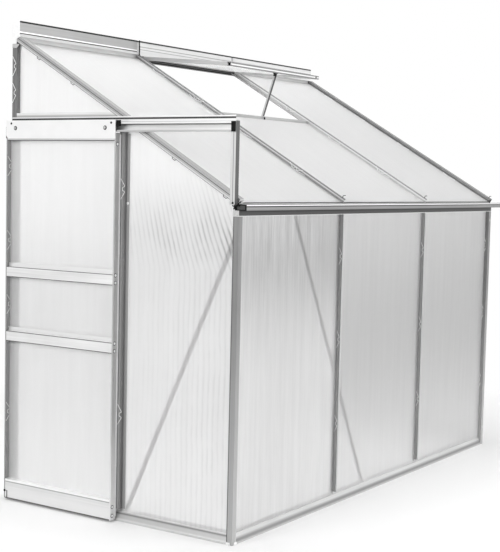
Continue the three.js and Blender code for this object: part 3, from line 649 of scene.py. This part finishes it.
def ribTree():
    tree, given = makeTree("fluted_sheet", (
        ("Spacing", "Float", ribs["spacing"]), ("Web", "Float", ribs["wide"]),
        ("Deep", "Float", ribs["deep"]), ("Thick", "Float", ribs["thick"]),
        ("Run", "Float", 1.0), ("Count", "Int", 10), ("Start", "Vector", None), ("Turn", "Vector", None),
        ("Material", "Material", None)))
    gap = mathNode(tree, "SUBTRACT", given["Spacing"], given["Web"])
    twice = mathNode(tree, "MULTIPLY", given["Deep"], 2.0)
    size = addNode(tree, "ShaderNodeCombineXYZ", {0: gap, 1: given["Run"], 2: twice})
    groove = addNode(tree, "GeometryNodeMeshCube", {"Size": size.outputs[0]})
    layers = tree.nodes.new("GeometryNodeJoinGeometry")
    for side in (0.5, -0.5):
        height = mathNode(tree, "MULTIPLY", given["Thick"], side)
        start = addNode(tree, "ShaderNodeCombineXYZ", {2: height})
        step = addNode(tree, "ShaderNodeCombineXYZ", {0: given["Spacing"]})
        line = addNode(tree, "GeometryNodeMeshLine", {
            "Count": given["Count"], "Start Location": start.outputs[0], "Offset": step.outputs[0]})
        row = addNode(tree, "GeometryNodeInstanceOnPoints", {
            "Points": line.outputs[0], "Instance": groove.outputs[0]})
        tree.links.new(row.outputs[0], layers.inputs[0])
    solid = addNode(tree, "GeometryNodeRealizeInstances", {0: layers.outputs[0]})
    laid = addNode(tree, "GeometryNodeTransform", {
        "Geometry": solid.outputs[0], "Translation": given["Start"], "Rotation": given["Turn"]})
    fluted = addNode(tree, "GeometryNodeMeshBoolean",
                     {"Mesh 1": given["Geometry"], "Mesh 2": laid.outputs[0]},
                     operation="DIFFERENCE", solver="MANIFOLD")
    endTree(tree, fluted.outputs[0], given["Material"])
    return tree


def fluteSheets():
    tree = ribTree()
    for name, part in sorted(parts.items()):
        turn = next((turn for start, turn in sheetTurns.items() if name.startswith(start)), None)
        if turn is None:
            continue
        mesh = part.data.copy()
        merged = bmesh.new()
        merged.from_mesh(mesh)
        bmesh.ops.remove_doubles(merged, verts=merged.verts, dist=1e-6)
        merged.to_mesh(mesh)
        merged.free()
        axes = Euler(turn).to_matrix()
        spans = []
        for axis in axes.col:
            reach = [axis.dot(corner.co) for corner in mesh.vertices]
            spans.append((min(reach), max(reach)))
        first = (math.floor(spans[0][0] / ribs["spacing"]) - 0.5) * ribs["spacing"]
        count = math.ceil((spans[0][1] - first) / ribs["spacing"]) + 1
        start = axes @ Vector((first, sum(spans[1]) / 2, sum(spans[2]) / 2))
        values = {
            "Thick": spans[2][1] - spans[2][0], "Run": spans[1][1] - spans[1][0] + ribs["overrun"],
            "Count": count, "Start": start, "Turn": Vector(turn), "Material": part.data.materials[0]}
        runTree(name + "_fluted", mesh, tree, values, bodyOf(name), (name,))


fluteSheets()
print("sheets fluted")


def turnTo(across, outward):
    # the turn of a small part whose own x and z run along the two directions
    across, outward = Vector(across), Vector(outward)
    along = outward.cross(across)
    return Matrix((across, along, outward)).transposed().to_euler()


def pointMesh(name, places):
    # one vertex for each place, with its turn kept beside it
    mesh = bpy.data.meshes.new(name)
    mesh.from_pydata([place for place, turn in places], [], [])
    turns = mesh.attributes.new("turn", "FLOAT_VECTOR", "POINT")
    for index, (place, turn) in enumerate(places):
        turns.data[index].vector = turn
    return mesh


def hiddenShape(mesh):
    shape = bpy.data.objects.new(mesh.name, mesh)
    bpy.context.scene.collection.objects.link(shape)
    shape.hide_render = True
    return shape


def placeCopies(tree, points, instance):
    turn = addNode(tree, "GeometryNodeInputNamedAttribute", {"Name": "turn"}, data_type="FLOAT_VECTOR")
    asTurn = addNode(tree, "FunctionNodeEulerToRotation", {0: turn.outputs["Attribute"]})
    return addNode(tree, "GeometryNodeInstanceOnPoints",
                   {"Points": points, "Instance": instance, "Rotation": asTurn.outputs[0]}).outputs[0]


# outer faces that small pieces sit on, in metres
faceAt = {
    "gable": -1.2555, "farGable": 1.2645, "doorStile": -1.2775, "headerPlate": -1.2955,
    "stud": -0.5778, "cornerPost": -0.5698, "baseFront": -0.589,
    "roofSheet": 1.4797, "rafterFlank": 1.4700, "rafterCap": 1.4876,       # square to the roof's slope
}

# wire clips that hold the sheets against the bars
clip = {
    "wireRadius": 0.0013, "bendRadius": 0.004,
    # bends of the wire: across the bar, along it, out from its face
    "bends": (
        (-0.0105, 0.043, 0.0022), (0.0095, 0.0145, 0.0050), (0.0095, 0.0105, 0.0026),
        (-0.0015, 0.006, 0.0016), (-0.0015, -0.006, 0.0016),
        (0.0095, -0.0105, 0.0026), (0.0095, -0.0145, 0.0050), (-0.0105, -0.043, 0.0022)),
    "shortBends": (
        (-0.003, 0.012, 0.0014), (0.0045, 0.007, 0.0014), (0.003, 0.0, 0.0014), (0.0045, -0.007, 0.0014),
        (-0.003, -0.012, 0.0014)),
    "flat": 0.0014,                    # height of the clips that the door slides over
    "slim": (0.7, 0.9),                # the narrow ones, as shares of the width and length
    "bars": (-0.417, 0.423),           # x of the studs and rafters between the bays
    "frontHeights": (0.369, 0.754, 1.131),
    "doorHeights": (0.40, 0.886, 1.173, 1.501),
    "postHeights": (0.46, 1.414),
    "wallHeights": (1.825, 1.942),
    "farHeights": (0.3, 0.72, 1.16),
    "roofDowns": (0.16, 0.42, 0.76, 1.1),      # from the top of the slope
    "gableDowns": (0.154, 0.381, 1.016, 1.312),
    # x of a bar's edge, side of it, and how many of the highest are left out for the window
    "roofRuns": ((-0.417, -1, 0), (-0.4135, 1, 2), (0.4225, -1, 2), (0.4265, 1, 0), (1.229, -1, 0)),
    "slopeTop": 1.554, "beside": 0.012,
    "flankAlongs": (0.472, 1.12),
}


def clipTree():
    tree, given = makeTree("wire_clips", (
        ("Path", "Object", None), ("Wire Radius", "Float", 0.001), ("Bend Radius", "Float", 0.003),
        ("Material", "Material", None)))
    path = addNode(tree, "GeometryNodeObjectInfo", {"Object": given["Path"]})
    curve = addNode(tree, "GeometryNodeMeshToCurve", {"Mesh": path.outputs["Geometry"]})
    bent = addNode(tree, "GeometryNodeFilletCurve", {
        "Curve": curve.outputs[0], "Radius": given["Bend Radius"], "Limit Radius": True, "Count": 4},
        mode="POLY")
    ring = addNode(tree, "GeometryNodeCurvePrimitiveCircle", {
        "Resolution": 8, "Radius": given["Wire Radius"]})
    solid = addNode(tree, "GeometryNodeCurveToMesh",
                    {"Curve": bent.outputs[0], "Profile Curve": ring.outputs[0], "Fill Caps": True})
    endTree(tree, placeCopies(tree, given["Geometry"], solid.outputs[0]), given["Material"])
    return tree


def clipPlaces():
    # set of clips -> places and turns
    outFront, outGable, outFar = (0, -1, 0), (-1, 0, 0), (1, 0, 0)
    places = {"frame": [], "door": [], "post": [], "front": []}
    for z in clip["frontHeights"]:
        places["front"] += [((x, faceAt["stud"], z), turnTo((0, -1, 0), outGable)) for x in clip["bars"]]
        places["frame"].append(((1.2305, faceAt["cornerPost"], z), turnTo((1, 0, 0), outFront)))
    near, far, farHeights = faceAt["gable"], faceAt["farGable"], clip["farHeights"]
    runs = (
        # set, point with its height left out, across, outward, heights
        ("post", (near, 0.0005), (0, -1, 0), outGable, clip["postHeights"]),
        ("frame", (near, 0.627), (0, -1, 0), outGable, clip["wallHeights"]),
        ("frame", (far, -0.575), (0, 1, 0), outFar, farHeights),
        ("frame", (far, 0.026), (0, 1, 0), outFar, farHeights),
        ("frame", (far, 0.627), (0, -1, 0), outFar, farHeights + (1.6,)),
        ("door", (faceAt["doorStile"], 0.6345), (1, 0, 0), outFront, clip["doorHeights"]),
    )
    for name, (x, y), across, outward, heights in runs:
        for z in heights:
            places[name].append(((x, y, z), turnTo(across, outward)))
    top = clip["slopeTop"]
    for x, side, skipped in clip["roofRuns"]:
        for down in clip["roofDowns"][skipped:]:
            spot = onSlope(x + side * clip["beside"], top - down, faceAt["roofSheet"])
            places["frame"].append((spot, turnTo((side, 0, 0), offSlope)))
    flank = turnTo([-share for share in offSlope], outGable)
    places["rafter"] = [(onSlope(near, top - down, faceAt["rafterFlank"]), flank)
                        for down in clip["gableDowns"]]
    places["roof"] = [(onSlope(x, along, faceAt["rafterCap"]), flank)
                      for x in clip["bars"] for along in clip["flankAlongs"]]
    return places


def addWires(name, bends, wireRadius, bendRadius, places, body, material):
    # the bent wire swept along its bends and set at every place
    path = bpy.data.meshes.new(name + "_path")
    path.from_pydata(bends, [(i, i + 1) for i in range(len(bends) - 1)], [])
    holder = hiddenShape(path)
    values = {"Path": holder, "Wire Radius": wireRadius, "Bend Radius": bendRadius, "Material": material}
    runTree(name, pointMesh(name + "_points", places), wireTree, values, body)
    bpy.data.objects.remove(holder)


wireTree = clipTree()
flatBends = tuple((across, along, clip["flat"]) for across, along, out in clip["bends"])
narrow, short = clip["slim"]
slimBends = tuple((across * narrow, along * short, out) for across, along, out in clip["bends"])
clipSets = {
    "frame": (clip["bends"], "frame", wire),
    "door": (clip["bends"], "door", wire),
    "post": (flatBends, "frame", wire),
    "front": (slimBends, "frame", wire),
    "rafter": (clip["shortBends"], "frame", darkSteel),
    "roof": (slimBends, "frame", wire),
}
for name, places in clipPlaces().items():
    bends, body, material = clipSets[name]
    addWires("glazing_clips_" + name, bends, clip["wireRadius"], clip["bendRadius"], places, body, material)
print("clips placed")


# the black wire clasp at the gutter's corner and the hook that holds the window's stay
bentWires = {
    # name -> body, wire radius, bend radius, bends in metres
    "corner_clasp_long": ("frame", 0.0027, 0.004, (
        (-1.2893, -0.5850, 1.3490), (-1.2893, -0.5977, 1.3622), (-1.2893, -0.6092, 1.3726),
        (-1.2893, -0.6203, 1.3792))),
    "corner_clasp_short": ("frame", 0.0021, 0.003, (
        (-1.2888, -0.5775, 1.3625), (-1.2888, -0.5890, 1.3585), (-1.2888, -0.5974, 1.3563),
        (-1.2888, -0.5981, 1.3474))),
    "corner_clasp_knot": ("frame", 0.0032, 0.002, (
        (-1.2899, -0.6000, 1.3610), (-1.2899, -0.6095, 1.3685), (-1.2899, -0.6125, 1.3600))),
    "stay_hook": ("window", 0.0016, 0.002, (
        (-0.0105, 0.0590, 1.9990), (-0.0105, 0.0590, 1.9910), (0.0000, 0.0590, 1.9880),
        (0.0085, 0.0590, 1.9910), (0.0085, 0.0590, 1.9990))),
}
eaveHook = {
    "wireRadius": 0.0016, "bendRadius": 0.003, "at": (-0.4155, 0.4245, 1.2505), "along": 0.187, "off": 1.4985,
    "bends": ((-0.008, 0.0, 0.001), (-0.004, 0.004, 0.0065), (0.004, 0.006, 0.0095), (0.009, 0.0, 0.0125)),
}


def addBentWires():
    still = [((0, 0, 0), (0, 0, 0))]       # one copy, where its bends say
    for name, (body, wireRadius, bendRadius, bends) in bentWires.items():
        addWires(name, bends, wireRadius, bendRadius, still, body, plastic)
    spots = [(onSlope(x, eaveHook["along"], eaveHook["off"]), turnTo((1, 0, 0), offSlope))
             for x in eaveHook["at"]]
    addWires("eave_hooks", eaveHook["bends"], eaveHook["wireRadius"], eaveHook["bendRadius"], spots, "frame",
             plastic)


addBentWires()
print("clasp and hooks placed")


# small extruded pieces: outlines in two directions, drawn out along the third
strips = {
    # name -> body, finish, direction it is drawn along, from, to, outline in the other two directions
    # a black piece beside the header plate, standing in for the shadow the plate casts on the track: a
    # painted shadow
    "header_bumper": ("door", "black", 1, -0.0120, 0.0128, (
        (-1.2923, 1.6750), (-1.2915, 1.6742), (-1.2901, 1.6742), (-1.2901, 1.6985), (-1.2912, 1.6990),
        (-1.2912, 1.6925), (-1.2923, 1.6915))),
    # a black plug at the left stile's top end that also gives the dark shade there: partly a real plug,
    # partly painted shadow
    "door_end_plug": ("door", "black", 1, 0.6373, 0.6406, (
        (-1.2928, 1.6240), (-1.2922, 1.6229), (-1.2905, 1.6229), (-1.2900, 1.6240), (-1.2900, 1.6738),
        (-1.2905, 1.6748), (-1.2922, 1.6748), (-1.2928, 1.6738))),
    "draught_strip": ("door", "white", 2, 0.020, 1.640, (
        (-1.2665, 0.0129), (-1.2665, 0.0116), (-1.2650, 0.0106), (-1.2625, 0.0112), (-1.2600, 0.0104),
        (-1.2585, 0.0110), (-1.2585, 0.0129))),
    "post_flange": ("frame", "flange", 2, 0.0535, 1.6450, (
        (-1.2400, -0.0072), (-1.2400, -0.0210), (-1.2388, -0.0220), (-1.2388, -0.0245), (-1.2380, -0.0262),
        (-1.2364, -0.0262), (-1.2364, -0.0072))),
    "door_guide": ("door", "black", 1, 0.6175, 0.6200, (
        (-1.2943, 0.0110), (-1.2935, 0.0090), (-1.2926, 0.0090), (-1.2926, 0.0440), (-1.2935, 0.0440),
        (-1.2943, 0.0420))),
    "ridge_end_cap": ("frame", "pale", 0, -1.2580, -1.2556, (
        (0.5985, 2.0715), (0.6155, 2.0600), (0.6155, 2.0415), (0.6170, 2.0401), (0.6400, 2.0401),
        (0.6410, 2.0415), (0.6410, 2.1410), (0.6400, 2.1420), (0.6000, 2.1420), (0.5985, 2.1410))),
    "wall_post_cap": ("frame", "end", 0, -1.2575, -1.2556, (
        (0.6125, 2.0230), (0.6135, 2.0220), (0.6400, 2.0220), (0.6410, 2.0230), (0.6410, 2.0385),
        (0.6400, 2.0395), (0.6040, 2.0395), (0.6000, 2.0360))),
    "ridge_joint": ("frame", "black", 0, -0.4215, -0.4160, (
        (0.5950, 2.0680), (0.5960, 2.0665), (0.5976, 2.0665), (0.5976, 2.1418), (0.5960, 2.1418),
        (0.5950, 2.1405), (0.5950, 2.1160), (0.5942, 2.1120), (0.5942, 2.0860), (0.5950, 2.0820))),
    "window_end_plug_right": ("window", "black", 0, 0.4127, 0.4152, (
        (0.0530, 2.0030), (0.0550, 2.0012), (0.0700, 2.0024), (0.0722, 2.0045), (0.0712, 2.0160),
        (0.0690, 2.0178), (0.0560, 2.0168), (0.0535, 2.0150))),
    "window_end_plug_left": ("window", "black", 0, -0.4055, -0.4037, (
        (0.0580, 2.0055), (0.0590, 2.0045), (0.0650, 2.0050), (0.0660, 2.0060), (0.0655, 2.0130),
        (0.0645, 2.0140), (0.0590, 2.0135), (0.0580, 2.0125))),
    "sill_rest": ("frame", "black", 0, -0.0160, -0.0050, (
        (0.1110, 1.7700), (0.1118, 1.7690), (0.1134, 1.7690), (0.1134, 1.7810), (0.1122, 1.7810),
        (0.1110, 1.7798))),
    "eave_end_plate": ("frame", "end", 0, -1.2578, -1.2556, (
        (-0.5885, 1.3225), (-0.5875, 1.3215), (-0.5625, 1.3215), (-0.5615, 1.3225), (-0.5615, 1.3560),
        (-0.5885, 1.3440))),
    "foot_pad_gable": ("frame", "pale", 1, -0.5795, -0.5615, (
        (-1.2600, 0.0005), (-1.2556, 0.0005), (-1.2556, 0.0110), (-1.2575, 0.0110), (-1.2600, 0.0080))),
    "foot_pad_front": ("frame", "pale", 0, -1.2450, -1.2270, (
        (-0.5935, 0.0005), (-0.5891, 0.0005), (-0.5891, 0.0110), (-0.5910, 0.0110), (-0.5935, 0.0080))),
}


def slopeOutline(corners):
    return tuple(onSlope(0, along, off)[1:] for along, off in corners)


# the strip across the foot of each roof sheet, and the plate that closes the foot of the gable's rafter
footStrip = slopeOutline(((0.1755, 1.4798), (0.1755, 1.4806), (0.1762, 1.4812), (0.1793, 1.4812),
                          (0.1800, 1.4806), (0.1800, 1.4798)))
for number, (low, high) in enumerate(((-1.2270, -0.4200), (-0.4110, 0.4200), (0.4290, 1.2360)), 1):
    strips[f"eave_strip_{number}"] = ("frame", "black", 0, low, high, footStrip)
strips["rafter_end_plate"] = ("frame", "pale", 0, -1.2553, -1.2277, slopeOutline(
    ((0.1761, 1.4985), (0.1747, 1.4980), (0.1747, 1.4765), (0.1761, 1.4760))))


def stripMesh(name, along, low, high, outline):
    others = [axis for axis in range(3) if axis != along]
    corners = []
    for end in (low, high):
        for spot in outline:
            corner = [0.0, 0.0, 0.0]
            corner[along] = end
            corner[others[0]], corner[others[1]] = spot
            corners.append(corner)
    count = len(outline)
    faces = [tuple(range(count)), tuple(range(count, 2 * count))]
    faces += [(i, (i + 1) % count, (i + 1) % count + count, i + count) for i in range(count)]
    mesh = bpy.data.meshes.new(name)
    mesh.from_pydata(corners, [], faces)
    tidy = bmesh.new()
    tidy.from_mesh(mesh)
    bmesh.ops.recalc_face_normals(tidy, faces=tidy.faces)
    tidy.to_mesh(mesh)
    tidy.free()
    return mesh


def addStrips():
    finish = {
        "black": (plastic, "black_plastic"),
        "pale": (wire, "mill_aluminium"),
        "white": (paint, "plate_metal"),
        "end": (zinc, "mill_aluminium"),
        "flange": (barMetals["post_flange"], "mill_aluminium"),
    }
    for name, (body, look, along, low, high, outline) in strips.items():
        mesh = stripMesh(name, along, low, high, outline)
        material, slot = finish[look]
        mesh.materials.append(material)
        keepPiece(name, mesh, body)


addStrips()
print("small strips placed")


# screws and bolts with their washers and knob, and black rings under the roller bolts as painted shadow
roundHead = ((0, 0), (0.0062, 0), (0.0062, 0.0007), (0.0043, 0.0008), (0.0041, 0.0017), (0.0032, 0.0026),
             (0.0018, 0.0027), (0.0012, 0.0019), (0, 0.0016))
fastener = {
    # kind -> turned profile of (radius, height) pairs, sides, material
    "panHead": (roundHead, 16, zinc),
    "doorHead": (roundHead, 16, wire),
    "washer": (((0, 0), (0.0088, 0), (0.0088, 0.0004), (0, 0.0004)), 18, darkSteel),
    "guideKnob": (((0, 0), (0.0052, 0), (0.0058, 0.0006), (0.0058, 0.0018), (0.0048, 0.0026),
                   (0.002, 0.0029), (0, 0.0029)), 16, darkSteel),
    "rollerBolt": (((0, 0), (0.0056, 0), (0.0056, 0.0034), (0.0048, 0.0044), (0.003, 0.0048),
                    (0.0022, 0.0036), (0, 0.0034)), 18, zinc),
    # black rings under the roller bolts' heads, standing in for the bolts' shadows: painted shadow
    "boltSeal": (((0, 0), (0.0092, 0), (0.0092, 0.0006), (0, 0.0006)), 18, plastic),
    "darkScrew": (((0, 0), (0.005, 0), (0.005, 0.0006), (0.0038, 0.0014), (0.0018, 0.0019), (0.0012, 0.001),
                   (0, 0.0008)), 14, darkSteel),
}
fixing = {
    "rollerAlong": (0.069, 0.581), "rollerHeight": 1.6675,
    "plateAlong": (0.036, 0.606), "plateHeight": 1.688,
    "stileMiddle": -1.281, "stileEdges": (0.013, 0.637),
    "stileHeights": (1.020, 1.052, 0.732, 0.764, 0.026, 0.064, 1.600),
    "washerThick": 0.0004,
    "postHeights": (0.1, 1.27), "frontPost": 1.2505, "farPosts": (-0.575, 0.627),
}


def latheMesh(name, profile, sides):
    # a closed turned shape: the profile's first and last point lie on the axis
    shape = bmesh.new()
    rings = []
    for radius, height in profile:
        if radius == 0:
            rings.append([shape.verts.new((0, 0, height))])
            continue
        rings.append([shape.verts.new((radius * math.cos(step * math.tau / sides),
                                       radius * math.sin(step * math.tau / sides), height))
                      for step in range(sides)])
    for lower, upper in zip(rings, rings[1:]):
        for step in range(sides):
            after = (step + 1) % sides
            if len(lower) == 1:
                corners = (lower[0], upper[after], upper[step])
            elif len(upper) == 1:
                corners = (lower[step], lower[after], upper[0])
            else:
                corners = (lower[step], lower[after], upper[after], upper[step])
            shape.faces.new(corners)
    bmesh.ops.recalc_face_normals(shape, faces=shape.faces)
    mesh = bpy.data.meshes.new(name)
    shape.to_mesh(mesh)
    shape.free()
    return mesh


def fastenerTree():
    tree, given = makeTree("fasteners", (("Shape", "Object", None), ("Material", "Material", None)))
    shape = addNode(tree, "GeometryNodeObjectInfo", {"Object": given["Shape"]})
    endTree(tree, placeCopies(tree, given["Geometry"], shape.outputs["Geometry"]), given["Material"])
    return tree


def fastenerPlaces():
    # kind and body -> places as (point, outward direction)
    gable, front, far, inside = (-1, 0, 0), (0, -1, 0), (1, 0, 0), (0, 1, 0)
    plate = faceAt["headerPlate"]
    spots = {}

    def add(kind, body, outward, points):
        spots.setdefault((kind, body), []).extend((point, outward) for point in points)

    add("guideKnob", "door", gable, [(-1.2925, 0.6325, 0.0416)])
    for kind in ("rollerBolt", "boltSeal"):
        add(kind, "door", gable, [(plate, y, fixing["rollerHeight"]) for y in fixing["rollerAlong"]])
    add("darkScrew", "door", gable, [(plate, y, fixing["plateHeight"]) for y in fixing["plateAlong"]])
    add("darkScrew", "window", (0, -0.9965, -0.0837), [(0.385, 0.0524, 2.0098)])
    x, (left, right) = fixing["stileMiddle"], fixing["stileEdges"]
    for kind, lift in (("doorHead", fixing["washerThick"]), ("washer", 0.0)):
        add(kind, "door", front, [(x, left - lift, z) for z in fixing["stileHeights"]])
        add(kind, "door", inside, [(x, right + lift, z) for z in fixing["stileHeights"]])
    add("doorHead", "frame", gable, [(-1.2400, -0.0138, 1.3547)])
    add("darkScrew", "frame", gable, [(-1.2795, -0.5728, 1.3722)])
    heights = fixing["postHeights"]
    add("panHead", "frame", front, [(fixing["frontPost"], faceAt["baseFront"], z) for z in heights])
    add("panHead", "frame", far, [(faceAt["farGable"], y, z) for y in fixing["farPosts"] for z in heights])
    return spots


def addFasteners():
    tree = fastenerTree()
    for (kind, body), spots in fastenerPlaces().items():
        profile, sides, material = fastener[kind]
        shape = hiddenShape(latheMesh(kind, profile, sides))
        places = [(point, Vector(outward).to_track_quat("Z", "Y").to_euler()) for point, outward in spots]
        values = {"Shape": shape, "Material": material}
        runTree(kind + "_" + body, pointMesh(kind + "_points", places), tree, values, body)
        bpy.data.objects.remove(shape)


addFasteners()
print("fasteners placed")


low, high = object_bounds()
